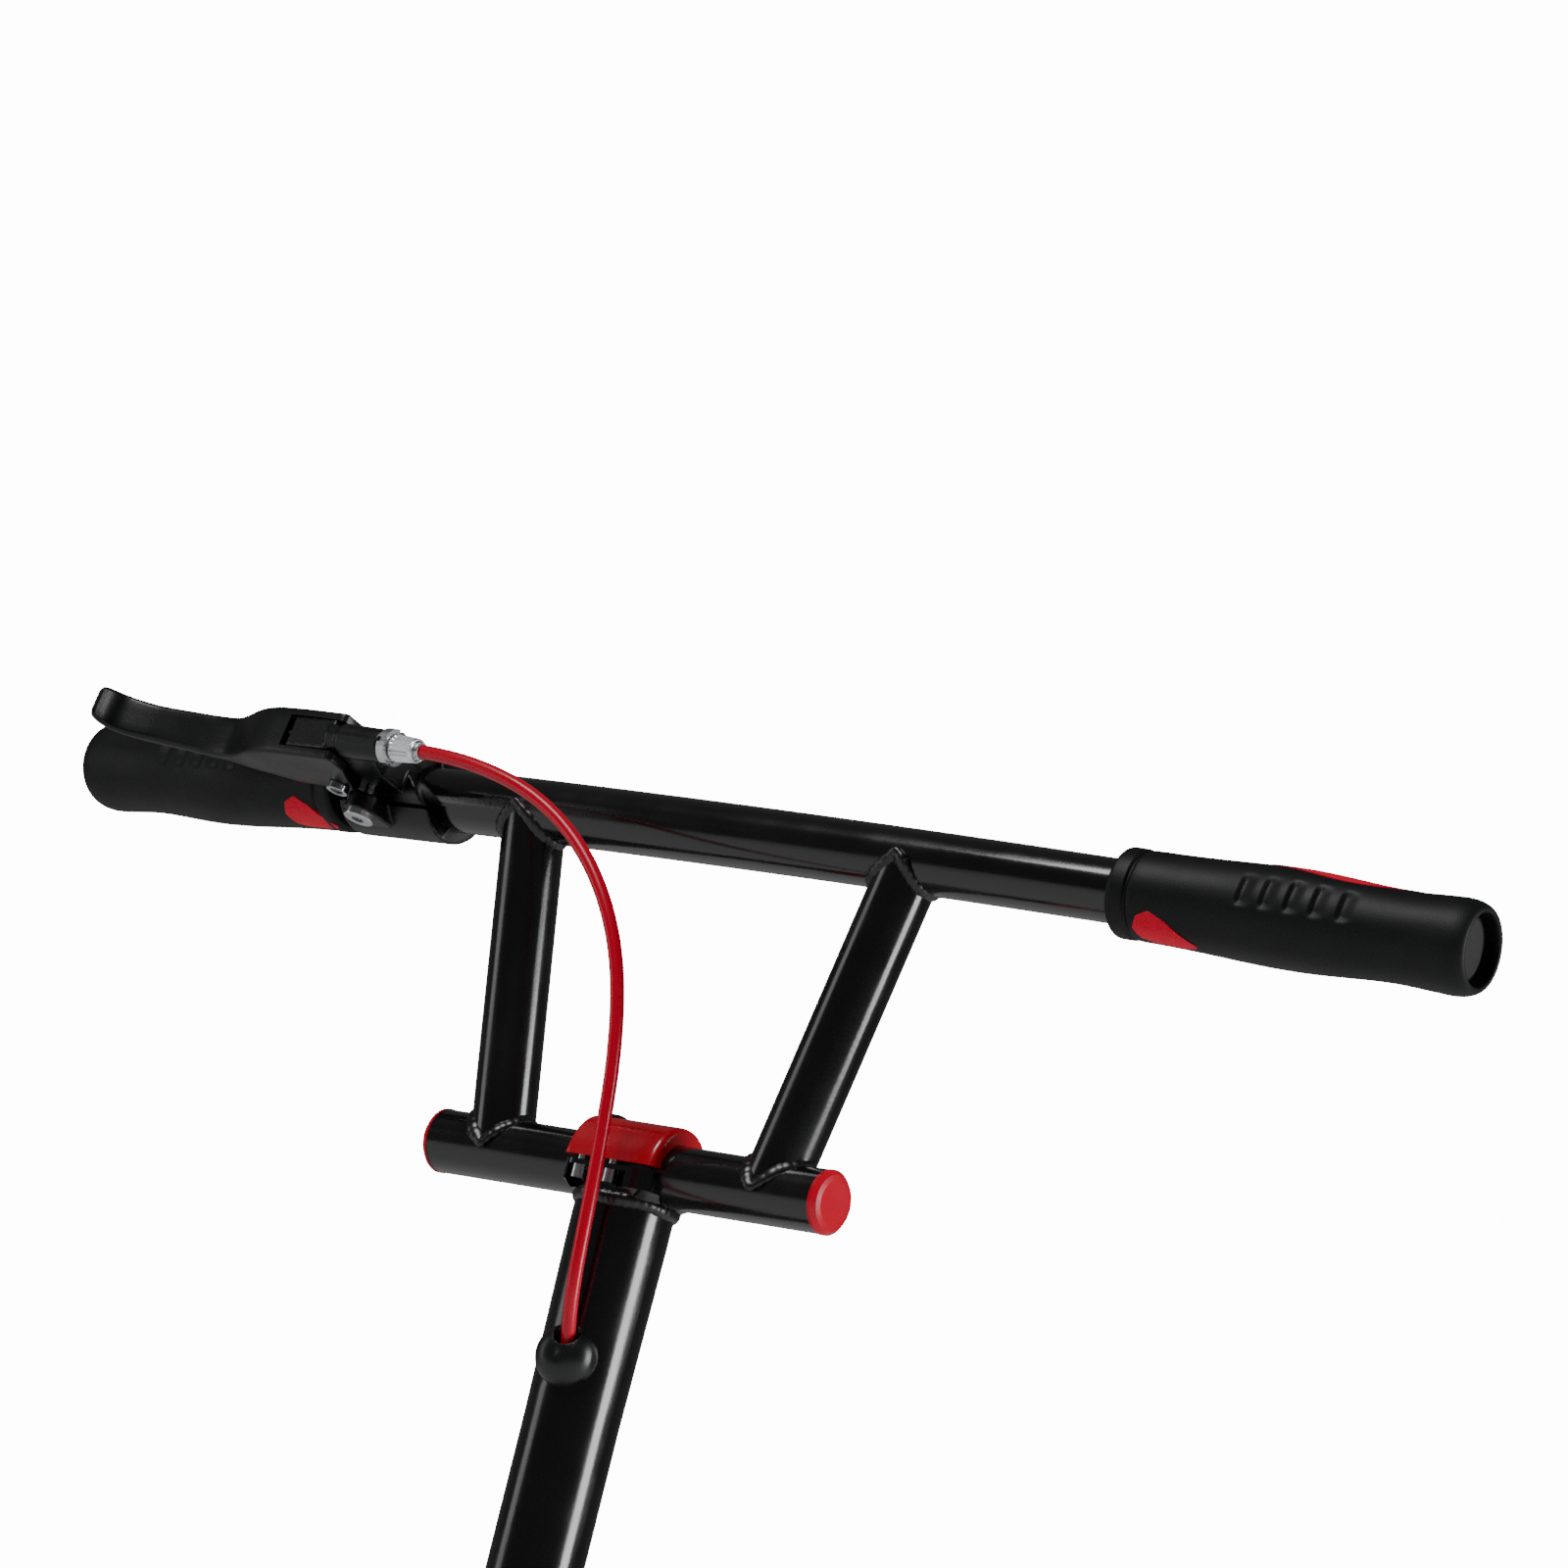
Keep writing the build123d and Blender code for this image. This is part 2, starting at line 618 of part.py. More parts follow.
with BuildPart() as barrel_adjuster:
    with BuildSketch(barrel_plane(29.0)):
        Circle(3.0)
    extrude(amount=head_at - 28.9)
    with BuildSketch(barrel_plane(head_at)):
        Circle(5.0)
    extrude(amount=head_long, taper=3.5)
    with BuildSketch(barrel_plane(head_at + head_long)):
        Circle(ferrule_r + 0.3)
    extrude(amount=-(head_long - socket_floor), mode=Mode.SUBTRACT)
    with BuildSketch(barrel_plane(28.0)):
        Circle(wire_r + clear)
    extrude(amount=40, mode=Mode.SUBTRACT)

ferrule_x = head_at + socket_floor + 0.3
upper_ferrule = ferrule(ferrule_r, wire_r + clear).moved(barrel_plane(ferrule_x).location)

with BuildPart() as brake_wire:
    with BuildSketch(barrel_plane(nipple_x)):
        Circle(wire_r)
    extrude(amount=ferrule_x - nipple_x)

with BuildPart() as cable_nipple:
    with BuildSketch(Plane.XY.offset(-4.6)):
        with Locations((nipple_x, nipple_at.Y)):
            Circle(nipple_r)
    extrude(amount=9.2)
    with BuildSketch(barrel_plane(nipple_x - 0.1)):
        Circle(wire_r + fit_gap)
    extrude(amount=10, mode=Mode.SUBTRACT)

# ---- brake cable, whole, from its upper ferrule to the one in the plug -----
cable_start = lever_plane.from_local_coords(on_barrel(ferrule_x + 1.1))
cable_lead = lever_plane.from_local_coords(on_barrel(ferrule_x + 1.1) + barrel_dir * 16.5)
cable_route = [
    cable_start, cable_lead, (-76.0, -36.0, 624.9), (-57.0, -35.3, 619.4), (-39.5, -34.7, 610.4),
    (-24.6, -34.0, 598.2), (-12.8, -33.2, 583.6), (-4.2, -32.2, 567.0), (1.0, -31.2, 549.0),
    (3.9, -29.9, 530.0), (4.9, -28.5, 511.0), (5.5, -27.1, 492.0), (5.9, -26.2, 473.0),
    (6.1, -25.0, 458.0), (5.5, -21.9, 444.0), (3.2, -12.9, 427.0), (1.6, -5.6, 405.0),
    (0.7, -1.6, 383.0), (0.2, 0.9, 350.0), (0.0, 2.2, 305.0), (-0.2, 3.4, 250.0), (-0.2, 3.2, 190.0),
    (-0.1, 1.9, 130.0), (0.0, 0.4, 75.0), (0.0, 0.0, 36.0), (0.0, 0.0, 9.1),
]


def arc_radii(points):
    """For each inner point, the arc that takes 0.45 of the shorter run beside it."""
    points = [Vector(*p) for p in points]
    radii = []
    for a, b, c in zip(points, points[1:], points[2:]):
        turn = radians((b - a).get_angle(c - b))
        radii.append(0.45 * min((b - a).length, (c - b).length) / tan(turn / 2))
    return radii


radii = arc_radii(cable_route)
print("cable arc radii", [round(r) for r in radii])
with BuildPart() as brake_cable:
    with BuildLine() as cable_line:
        FilletPolyline(*[Vector(*p) for p in cable_route], radius=radii)
    start_tangent = cable_line.line % 0
    with BuildSketch(Plane(origin=cable_line.line @ 0, z_dir=start_tangent)):
        Circle(cable_r)
    sweep()
cable_length = cable_line.wires()[0].length
print(f"cable length {cable_length:.1f}, volume {brake_cable.part.volume:.0f}, "
      f"section x length {3.14159265 * cable_r ** 2 * cable_length:.0f}")

# ---- rubber grommet where the cable enters the column ----------------------
with BuildPart() as cable_grommet:
    with BuildSketch(Plane.XZ):
        with BuildLine():
            inner = column_r - column_wall
            Polyline((0, inner - 2.2), (4.4, inner - 2.2), (4.4, column_r - 6.0), (10.8, column_r - 6.0),
                     (10.8, column_r + 0.8))
            ThreePointArc((10.8, column_r + 0.8), (8.4, column_r + 4.6), (0, column_r + 6.4))
            Line((0, column_r + 6.4), (0, inner - 2.2))
        make_face()
    revolve(axis=Axis.Z)
grommet_solid = cable_grommet.part.moved(hole_plane.location)
with BuildPart() as cable_grommet:
    add(grommet_solid)
    add(column_tube.part, mode=Mode.SUBTRACT)
    for a, b in zip(cable_route[12:17], cable_route[13:18]):
        add(rod(a, b, cable_r + 1.1, 2.0), mode=Mode.SUBTRACT)

# ---- write every piece -------------------------------------------------------
for name, body in {
    "column_tube": column_tube.part,
    "clamp_saddle": clamp_saddle.part,
    "clamp_cap": clamp_cap.part,
    "clamp_screws": clamp_screws.part,
    "tilt_stop_screw": tilt_stop_screw.part.moved(Location((stop_x, 0, 0))),
    "cable_grommet": cable_grommet.part,
    "foot_plug": foot_plug.part,
    "lower_ferrule": lower_ferrule,
    "wire_lower_end": wire_lower_end.part,
    "cross_tube": cross_tube.part,
    "main_bar": main_bar.part,
    "lever_perch": bored_perch.part,
    "brake_lever": brake_lever.part.moved(lever_place),
    "pivot_screw": pivot_screw.part.moved(lever_place),
    "pivot_nut": pivot_nut.part.moved(lever_place),
    "band_screw": band_screw.part.moved(lever_place),
    "return_spring": return_spring.part.moved(Location((pivot_x, pivot_y, 0))).moved(lever_place),
    "lock_ring": lock_ring.part.moved(lever_place),
    "barrel_adjuster": barrel_adjuster.part.moved(lever_place),
    "upper_ferrule": upper_ferrule.moved(lever_place),
    "brake_wire": brake_wire.part.moved(lever_place),
    "cable_nipple": cable_nipple.part.moved(lever_place),
    "brake_cable": brake_cable.part,
}.items():
    save(body, name)

for side, word in ((1, "left"), (-1, "right")):
    grip, inlay = grip_pair(side)
    save(grip, f"grip_{word}")
    save(inlay, f"grip_inlay_{word}")
    save(stay(side), f"stay_{word}")
    save(cross_cap(side), f"cross_cap_{word}")
    save(end_plug(side), f"bar_end_plug_{word}")
print(len(volumes), "pieces")
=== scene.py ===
"""Kick scooter handlebar and steering column with a hand brake, dressed for rendering.

Metres, in the frame of the CAD model: +Z up the column, -Y the front, +X the rider's left.
"""

import random
from math import atan2, cos, pi, radians, sin, sqrt

import bmesh
import bpy
from mathutils import Matrix, Vector


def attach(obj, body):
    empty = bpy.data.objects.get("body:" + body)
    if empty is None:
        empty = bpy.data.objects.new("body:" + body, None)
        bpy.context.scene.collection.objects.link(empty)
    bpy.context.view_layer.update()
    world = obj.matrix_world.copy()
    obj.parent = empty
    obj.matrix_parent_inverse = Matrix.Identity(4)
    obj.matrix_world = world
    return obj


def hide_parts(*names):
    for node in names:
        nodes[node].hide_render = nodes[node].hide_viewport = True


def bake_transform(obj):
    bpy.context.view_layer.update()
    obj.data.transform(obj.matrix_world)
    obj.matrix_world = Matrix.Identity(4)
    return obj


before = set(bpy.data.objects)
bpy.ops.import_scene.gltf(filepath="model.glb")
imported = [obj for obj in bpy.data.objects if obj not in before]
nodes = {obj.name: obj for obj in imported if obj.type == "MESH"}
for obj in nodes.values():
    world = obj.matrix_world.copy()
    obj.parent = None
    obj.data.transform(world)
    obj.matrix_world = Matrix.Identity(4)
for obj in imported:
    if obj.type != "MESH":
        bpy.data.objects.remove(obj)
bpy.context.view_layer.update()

# ---------------------------------------------------------------- steering column
# A round steel tube, swaged out under the clamp and powder coated in gloss black, so it mirrors lamps in
# soft stripes. A moulded plug in its foot holds the end of the brake cable.
def srgb(text):
    """Linear colour from a hex string."""
    parts = [int(text[i:i + 2], 16) / 255 for i in (0, 2, 4)]
    return [c / 12.92 if c <= 0.04045 else ((c + 0.055) / 1.055) ** 2.4 for c in parts] + [1.0]


def add_node(tree, kind, **values):
    """A shader node with its sockets set; a value that is a socket is linked."""
    node = tree.nodes.new(kind)
    for key, value in values.items():
        socket = node.inputs[key.replace("_", " ")] if key.replace("_", " ") in node.inputs else None
        if socket is None:
            setattr(node, key, value)
        elif isinstance(value, bpy.types.NodeSocket):
            tree.links.new(value, socket)
        else:
            socket.default_value = value
    return node


def finish(name, colour, roughness, metallic=0.0, coat=0.0, grain=0.0, grain_size=600.0, wear=0.05,
           specular=0.5):
    """A principled finish whose roughness varies with a slow noise and whose surface has a fine grain."""
    material = bpy.data.materials.new(name)
    material.use_nodes = True
    tree = material.node_tree
    tree.nodes.clear()
    where = add_node(tree, "ShaderNodeTexCoord").outputs["Object"]
    slow = add_node(tree, "ShaderNodeTexNoise", Vector=where, Scale=45.0, Detail=3.0).outputs["Fac"]
    fine = add_node(tree, "ShaderNodeTexNoise", Vector=where, Scale=grain_size, Detail=2.0).outputs["Fac"]
    rough = add_node(tree, "ShaderNodeMapRange", Value=slow)
    rough.inputs["From Min"].default_value = 0.3
    rough.inputs["From Max"].default_value = 0.7
    rough.inputs["To Min"].default_value = max(roughness - wear, 0.02)
    rough.inputs["To Max"].default_value = roughness + wear
    bump = add_node(tree, "ShaderNodeBump", Height=fine, Strength=grain, Distance=0.0002)
    shader = add_node(tree, "ShaderNodeBsdfPrincipled", Metallic=metallic, Roughness=rough.outputs["Result"],
                      Normal=bump.outputs["Normal"])
    shader.inputs["Base Color"].default_value = srgb(colour)
    shader.inputs["Coat Weight"].default_value = coat
    shader.inputs["Coat Roughness"].default_value = 0.10
    shader.inputs["Specular IOR Level"].default_value = specular
    out = add_node(tree, "ShaderNodeOutputMaterial")
    tree.links.new(shader.outputs["BSDF"], out.inputs["Surface"])
    return material


def dress(material, names):
    """Gives pieces that keep their shape a material."""
    for name in names:
        nodes[name].data.materials.clear()
        nodes[name].data.materials.append(material)


powder_coat = finish("gloss black powder coat", "060607", 0.19, coat=0.3, grain=0.10, grain_size=900.0)
dull_plastic = finish("dull black plastic", "050505", 0.7, grain=0.2, grain_size=1500.0)
dress(powder_coat, ["column_tube"])
dress(dull_plastic, ["foot_plug"])

# ---------------------------------------------------------------- clamp
# The saddle is welded on the column and coated with it; the cap over the cross tube is red enamelled metal.
# Zinc plated barrels and screws pull the cap down, and a black oxide button head stops the tilt.
red_enamel = finish("red enamel", "a80018", 0.24, coat=0.3, grain=0.08, specular=0.4)
zinc = finish("zinc plated steel", "c9ccce", 0.26, metallic=1.0, grain=0.15, grain_size=1200.0, wear=0.08)
black_oxide = finish("black oxide steel", "17181a", 0.35, metallic=0.8, grain=0.1)
dress(powder_coat, ["clamp_saddle"])
dress(red_enamel, ["clamp_cap"])
dress(zinc, ["clamp_screws"])
dress(black_oxide, ["tilt_stop_screw"])

# ---------------------------------------------------------------- handlebar tubes
# Cross tube, two stays and the swept bar are steel tubes, welded and powder coated in one.
# Red moulded caps close the cross tube; dull black plugs close the bar under the grips.
red_plastic = finish("red glossy plastic", "b00020", 0.28, grain=0.05, specular=0.3)
dress(powder_coat, ["cross_tube", "stay_left", "stay_right", "main_bar"])
dress(red_plastic, ["cross_cap_left", "cross_cap_right"])
dress(dull_plastic, ["bar_end_plug_left", "bar_end_plug_right"])

# ---------------------------------------------------------------- weld beads
# Rippled beads along the lines where two tubes meet, each with its own slight unevenness, under the same
# black coat; four at the stays' ends and one between saddle and column.
weld_paint = finish("painted weld bead", "060607", 0.34, coat=0.1, grain=0.08, grain_size=500.0)


def link_mesh(name, points, faces, material):
    """A smooth mesh object with its faces turned outwards."""
    mesh = bpy.data.meshes.new(name)
    mesh.from_pydata([tuple(p) for p in points], [], faces)
    mesh.validate()
    shape = bmesh.new()
    shape.from_mesh(mesh)
    bmesh.ops.remove_doubles(shape, verts=shape.verts, dist=1e-7)
    bmesh.ops.recalc_face_normals(shape, faces=shape.faces)
    shape.to_mesh(mesh)
    shape.free()
    for face in mesh.polygons:
        face.use_smooth = True
    mesh.materials.append(material)
    made = bpy.data.objects.new(name, mesh)
    bpy.context.scene.collection.objects.link(made)
    return made


def skin(name, rings, material, closed=False):
    """Joins rings of equal length; the two ends are closed with a face, or joined with each other."""
    count = len(rings[0])
    points = [p for ring in rings for p in ring]
    faces = []
    spans = range(len(rings)) if closed else range(len(rings) - 1)
    for i in spans:
        j = (i + 1) % len(rings)
        for k in range(count):
            n = (k + 1) % count
            faces.append((i * count + k, i * count + n, j * count + n, j * count + k))
    if not closed:
        faces.append(tuple(range(count)))
        faces.append(tuple((len(rings) - 1) * count + k for k in range(count)))
    return link_mesh(name, points, faces, material)


def smooth_step(a, b, x):
    t = min(max((x - a) / (b - a), 0.0), 1.0)
    return t * t * (3 - 2 * t)


# The bar curves back on a radius of 1.75 m; distances along it start at its middle.
def bar_point(s):
    return Vector((1.75 * sin(s / 1.75), 1.75 - 1.75 * cos(s / 1.75), 0.62))


def bar_tangent(s):
    return Vector((cos(s / 1.75), sin(s / 1.75), 0))


def bead(name, line, thickness, seed):
    """A closed bead that follows a line of (point, outward direction) pairs."""
    rand = random.Random(seed)
    phases = [rand.uniform(0, 2 * pi) for _ in range(3)]
    length = sum((line[i][0] - line[i - 1][0]).length for i in range(len(line)))
    ripples = max(8, int(length / 0.0028))
    rings = []
    for i, (place, out) in enumerate(line):
        t = i / len(line) * 2 * pi
        ahead = (line[(i + 1) % len(line)][0] - line[i - 1][0]).normalized()
        side_way = ahead.cross(out).normalized()
        scallop = abs(sin(t * ripples / 2))
        swell = 0.08 * sin(3 * t + phases[0]) + 0.05 * sin(7 * t + phases[1])
        size = thickness * (0.90 + 0.10 * scallop + swell)
        lean = 0.15 * thickness * sin(5 * t + phases[2])
        rings.append([place + out * (size * 0.8 * cos(a)) + side_way * (size * 1.25 * sin(a) + lean)
                      for a in [k * 2 * pi / 12 for k in range(12)]])
    return skin(name, rings, weld_paint, closed=True)


def stay_weld(side, top_end, count=220):
    """Where a stay meets the cross tube below, or the bar above."""
    foot, head = Vector((side * 0.0595, 0, 0.5)), bar_point(side * 0.0835)
    axis = (head - foot).normalized()
    u = axis.cross(Vector((0, 1, 0))).normalized()
    v = axis.cross(u)
    result = []
    for k in range(count):
        a = k * 2 * pi / count
        out = u * cos(a) + v * sin(a)
        low, high = (0.0, 0.03) if not top_end else ((head - foot).length - 0.03, (head - foot).length)
        for _ in range(30):
            t = (low + high) / 2
            p = foot + axis * t + out * 0.0111
            if top_end:
                flat = sqrt(p.x ** 2 + (1.75 - p.y) ** 2) - 1.75
                inside = sqrt(flat ** 2 + (p.z - 0.62) ** 2) < 0.0111
                low, high = (low, t) if inside else (t, high)
            else:
                inside = sqrt(p.y ** 2 + (p.z - 0.5) ** 2) < 0.0111
                low, high = (t, high) if inside else (low, t)
        away = (axis * (-1 if top_end else 1) + out).normalized()
        result.append((p, away))
    return result


for number, (side, top_end) in enumerate(((1, False), (1, True), (-1, False), (-1, True))):
    weld = bead(f"weld_{number}", stay_weld(side, top_end), 0.0021, 40 + number)
    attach(weld, "handlebar")

circle = []
for k in range(260):
    a = k * 2 * pi / 260
    out = Vector((cos(a), sin(a), 0))
    circle.append((out * 0.01725 + Vector((0, 0, 0.4878)), (out + Vector((0, 0, -0.25))).normalized()))
weld = bead("weld_column", circle, 0.0021, 77)
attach(weld, "column")

# ---------------------------------------------------------------- grips
# Moulded rubber sleeves: collar, palm swell, rounded open mouth and five finger cuts on the upper front,
# with drops and palm patches of a red rubber let in.
grip_rubber = finish("black grip rubber", "020304", 0.50, grain=0.35, grain_size=1800.0, specular=0.25)
red_rubber = finish("red grip rubber", "d8002c", 0.45, grain=0.2, grain_size=1500.0, specular=0.15)
dress(red_rubber, ["grip_inlay_left", "grip_inlay_right"])
grip_outline = [(0.0, 11.3), (0.0, 13.6), (0.3, 14.5), (0.9, 15.2), (1.8, 15.6), (6.6, 15.6), (7.0, 15.4),
                (7.3, 14.8),
                (7.9, 14.6), (8.4, 14.9), (9.0, 15.4), (15.0, 15.5), (22.0, 15.6), (34.0, 16.0),
                (48.0, 16.7),
                (60.0, 17.1), (72.0, 17.1), (84.0, 16.5), (97.0, 15.7), (107.0, 15.5), (117.0, 16.0),
                (125.5, 16.5),
                (129.5, 16.35), (132.2, 15.7), (134.0, 14.8), (134.8, 14.0), (135.0, 13.3), (134.8, 12.7),
                (134.2, 12.35),
                (133.2, 12.15), (128.6, 12.15), (128.6, 11.3)]
cut_places = (50.5, 59.5, 68.8, 78.2, 88.1)


def along(outline, step):
    """Points of a polyline no further apart than step, in order."""
    result = [outline[0]]
    for (z0, r0), (z1, r1) in zip(outline, outline[1:]):
        parts = max(1, int(sqrt((z1 - z0) ** 2 + (r1 - r0) ** 2) / step + 0.999))
        for i in range(1, parts + 1):
            result.append((z0 + (z1 - z0) * i / parts, r0 + (r1 - r0) * i / parts))
    return result


def rounded(outline, passes=2):
    """Corner cutting, so that a coarse outline reads as a curve."""
    for _ in range(passes):
        fresh = [outline[0]]
        for (z0, r0), (z1, r1) in zip(outline, outline[1:]):
            fresh += [(0.75 * z0 + 0.25 * z1, 0.75 * r0 + 0.25 * r1),
                      (0.25 * z0 + 0.75 * z1, 0.25 * r0 + 0.75 * r1)]
        outline = fresh + [outline[-1]]
    return outline


def finger_cut(z, elevation):
    """Depth of the finger cuts at a place on the grip: a sharp step that runs out outwards."""
    if elevation < -8 or elevation > 44:
        return 0.0
    window = smooth_step(-6, 4, elevation) * (1 - smooth_step(30, 42, elevation))
    depth = 0.0
    for place in cut_places:
        d = z - place
        if -1.2 < d < 6.0:
            depth = max(depth, smooth_step(-1.2, 0.0, d) * (1 - smooth_step(0.2, 6.0, d)))
    return 1.3 * window * depth


for side, word in ((1, "left"), (-1, "right")):
    inner, outer = bar_point(side * 0.169), bar_point(side * 0.304)
    start = inner + (bar_point(side * 0.2365) - (inner + outer) * 0.5) * 0.6
    axis = (outer - inner).normalized()
    front = Vector((0, 0, 1)).cross(axis) * -side
    top = Vector((0, 0, 1))
    rings = []
    for z, r in along(rounded(grip_outline), 0.9):
        ring = []
        outside = z < 128.0 or r > 14.0
        for k in range(144):
            elevation = k * 2.5 - 180.0
            cut = finger_cut(z, elevation) if outside and z > 40 else 0.0
            e = radians(elevation)
            ring.append(start + axis * (z / 1000) + (front * cos(e) + top * sin(e)) * ((r - cut) / 1000))
        rings.append(ring)
    grip = skin(f"grip_{word}_skin", rings, grip_rubber, closed=True)
    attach(grip, "handlebar")
    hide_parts(f"grip_{word}")
    # the coloured patches stand a hair above the rubber
    inlay = nodes[f"grip_inlay_{word}"]
    patch = bpy.data.objects.new(f"grip_inlay_{word}_skin", inlay.data.copy())
    bpy.context.scene.collection.objects.link(patch)
    for vertex in patch.data.vertices:
        offset = vertex.co - start
        along_axis = offset.dot(axis)
        outwards = offset - axis * along_axis
        low = outwards.dot(top) < 0
        turn = radians(7.0 if low else -13.0)
        e = atan2(outwards.dot(top), outwards.dot(front)) + turn
        shift = -0.0035 if low and side < 0 else 0.0
        reach = outwards.length + 0.00025
        vertex.co = start + axis * (along_axis + shift) + (front * cos(e) + top * sin(e)) * reach
    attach(patch, "handlebar")
    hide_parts(f"grip_inlay_{word}")

# ---------------------------------------------------------------- brake lever
# A moulded nylon blade that swells into a forked root round the perch's tongue; its tip curls forward.
# All of it is laid out in the lever's frame, millimetres: x inwards along the bar, y towards the rider,
# z up the lever's pivot.
lever_plastic = finish("moulded black nylon", "040506", 0.34, grain=0.25, grain_size=1500.0, specular=0.35)
lever_home = Vector((-0.162765, 0.007585, 0.62))
lever_axes = (Vector((0.995665, -0.093008, 0.0)), Vector((0.090976, 0.973908, -0.207911)),
              Vector((0.019337, 0.207010, 0.978148)))
pivot_x, pivot_y = 9.0, -24.0


def from_lever(x, y, z):
    return lever_home + (lever_axes[0] * x + lever_axes[1] * y + lever_axes[2] * z) / 1000


def on_barrel(x, r=0.0, turn=0.0):
    """A point round the cable's axis, x along the lever's frame."""
    slope = radians(4.0)
    y = -40.6 - (42.5 - x) * sin(slope) / cos(slope)
    return from_lever(x - sin(slope) * r * cos(turn), y + cos(slope) * r * cos(turn), r * sin(turn))


def lathe(name, outline, material, count=48, cut=None):
    """Turns an outline of (x, radius) round the cable's axis; cut(x, radius, turn) takes a little off."""
    rings = []
    for k in range(count):
        turn = k * 2 * pi / count
        rings.append([on_barrel(x, r - (cut(x, r, turn) if cut else 0.0), turn) for x, r in outline])
    return skin(name, rings, material, closed=True)


def block(name, outline, low, high):
    """An upright prism over an outline of (x, y)."""
    return skin(name, [[from_lever(x, y, z) for x, y in outline] for z in (low, high)], lever_plastic)


def disc(x, y, radius, count=48):
    return [(x + radius * cos(k * 2 * pi / count),
             y + radius * sin(k * 2 * pi / count)) for k in range(count)]


def apply_modifiers(thing):
    """Makes the modified shape the mesh itself."""
    bpy.context.view_layer.update()
    shape = bpy.data.meshes.new_from_object(thing.evaluated_get(bpy.context.evaluated_depsgraph_get()))
    thing.modifiers.clear()
    old = thing.data
    thing.data = shape
    bpy.data.meshes.remove(old)


def carve(thing, cutters, material):
    """Takes each cutter out of the piece and throws the cutters away."""
    for cutter in cutters:
        step = thing.modifiers.new("cut", "BOOLEAN")
        step.operation = "DIFFERENCE"
        step.solver = "EXACT"
        step.object = cutter
    apply_modifiers(thing)
    for cutter in cutters:
        bpy.data.objects.remove(cutter)
    for face in thing.data.polygons:
        face.use_smooth = True
    thing.data.set_sharp_from_angle(angle=radians(38))
    thing.data.materials.clear()
    thing.data.materials.append(material)


# Each station: front edge, rear edge, half height, corner radius.
stations = [
    (-92.8, -55.4, -94.0, -54.9, 3.8, 0.4), (-92.3, -55.0, -94.6, -53.6, 5.4, 0.9),
    (-91.7, -53.2, -94.4, -51.4, 6.3, 1.3),
    (-90.7, -50.0, -93.3, -48.0, 6.8, 1.5), (-89.0, -47.2, -91.2, -44.9, 7.0, 1.6),
    (-86.0, -44.9, -87.7, -41.6, 7.0, 1.8),
    (-82.0, -43.1, -83.0, -38.9, 7.0, 2.0), (-76.5, -41.3, -77.0, -36.7, 7.0, 2.2),
    (-70.0, -39.9, -70.4, -35.3, 7.1, 2.3),
    (-62.5, -38.4, -62.8, -33.9, 7.3, 2.4), (-55.0, -37.0, -55.2, -32.4, 7.5, 2.4),
    (-50.0, -36.1, -50.1, -31.5, 7.7, 2.4),
    (-45.0, -35.7, -45.0, -30.6, 7.9, 2.4), (-41.0, -35.9, -41.0, -29.9, 8.1, 2.4),
    (-37.0, -37.0, -37.0, -29.2, 8.5, 2.4),
    (-33.0, -38.6, -33.0, -28.4, 8.9, 2.4), (-28.0, -41.0, -28.0, -27.0, 9.15, 2.3),
    (-22.0, -43.6, -22.0, -25.0, 9.2, 2.2),
    (-17.0, -45.1, -17.0, -22.9, 9.2, 2.1), (-11.0, -46.2, -11.0, -20.9, 9.2, 2.0),
    (-6.5, -46.5, -6.5, -20.4, 9.2, 2.0),
    (-1.0, -46.5, -1.0, -20.1, 9.2, 1.8), (4.0, -46.4, 4.0, -19.7, 9.2, 1.7),
    (8.0, -46.3, 7.4, -18.0, 9.2, 1.6),
    (12.0, -46.1, 11.6, -17.9, 9.2, 1.6), (15.6, -45.9, 14.5, -20.2, 9.2, 1.5),
    (18.4, -45.7, 15.9, -24.6, 9.2, 1.4),
    (20.4, -45.5, 18.2, -30.2, 9.2, 1.2), (21.5, -44.6, 20.6, -34.6, 9.2, 0.9),
    (21.9, -44.0, 21.2, -36.0, 8.9, 0.5),
]
rings = []
for fx, fy, rx, ry, high, corner in stations:
    front_edge, rear_edge = Vector((fx, fy)), Vector((rx, ry))
    middle, half = (front_edge + rear_edge) / 2, (rear_edge - front_edge).length / 2
    along_it = (rear_edge - front_edge).normalized()
    corner = min(corner, half * 0.9)
    ring = []
    for sx, sz, begin in ((1, 1, 0.0), (-1, 1, 0.5), (-1, -1, 1.0), (1, -1, 1.5)):
        for k in range(7):
            a = pi * (begin + k / 12)
            u = sx * (half - corner) + corner * cos(a)
            v = sz * (high - corner) + corner * sin(a)
            ring.append(from_lever(middle.x + along_it.x * u, middle.y + along_it.y * u, v))
        # points on the straight side up to the next corner keep the long faces even
        for k in range(1, 4):
            a, t = pi * (begin + 0.5), k / 4
            u0, v0 = sx * (half - corner) + corner * cos(a), sz * (high - corner) + corner * sin(a)
            nx, nz = {(1, 1): (-1, 1), (-1, 1): (-1, -1), (-1, -1): (1, -1), (1, -1): (1, 1)}[(sx, sz)]
            u1, v1 = nx * (half - corner) + corner * cos(a), nz * (high - corner) + corner * sin(a)
            u, v = u0 + (u1 - u0) * t, v0 + (v1 - v0) * t
            ring.append(from_lever(middle.x + along_it.x * u, middle.y + along_it.y * u, v))
    rings.append(ring)
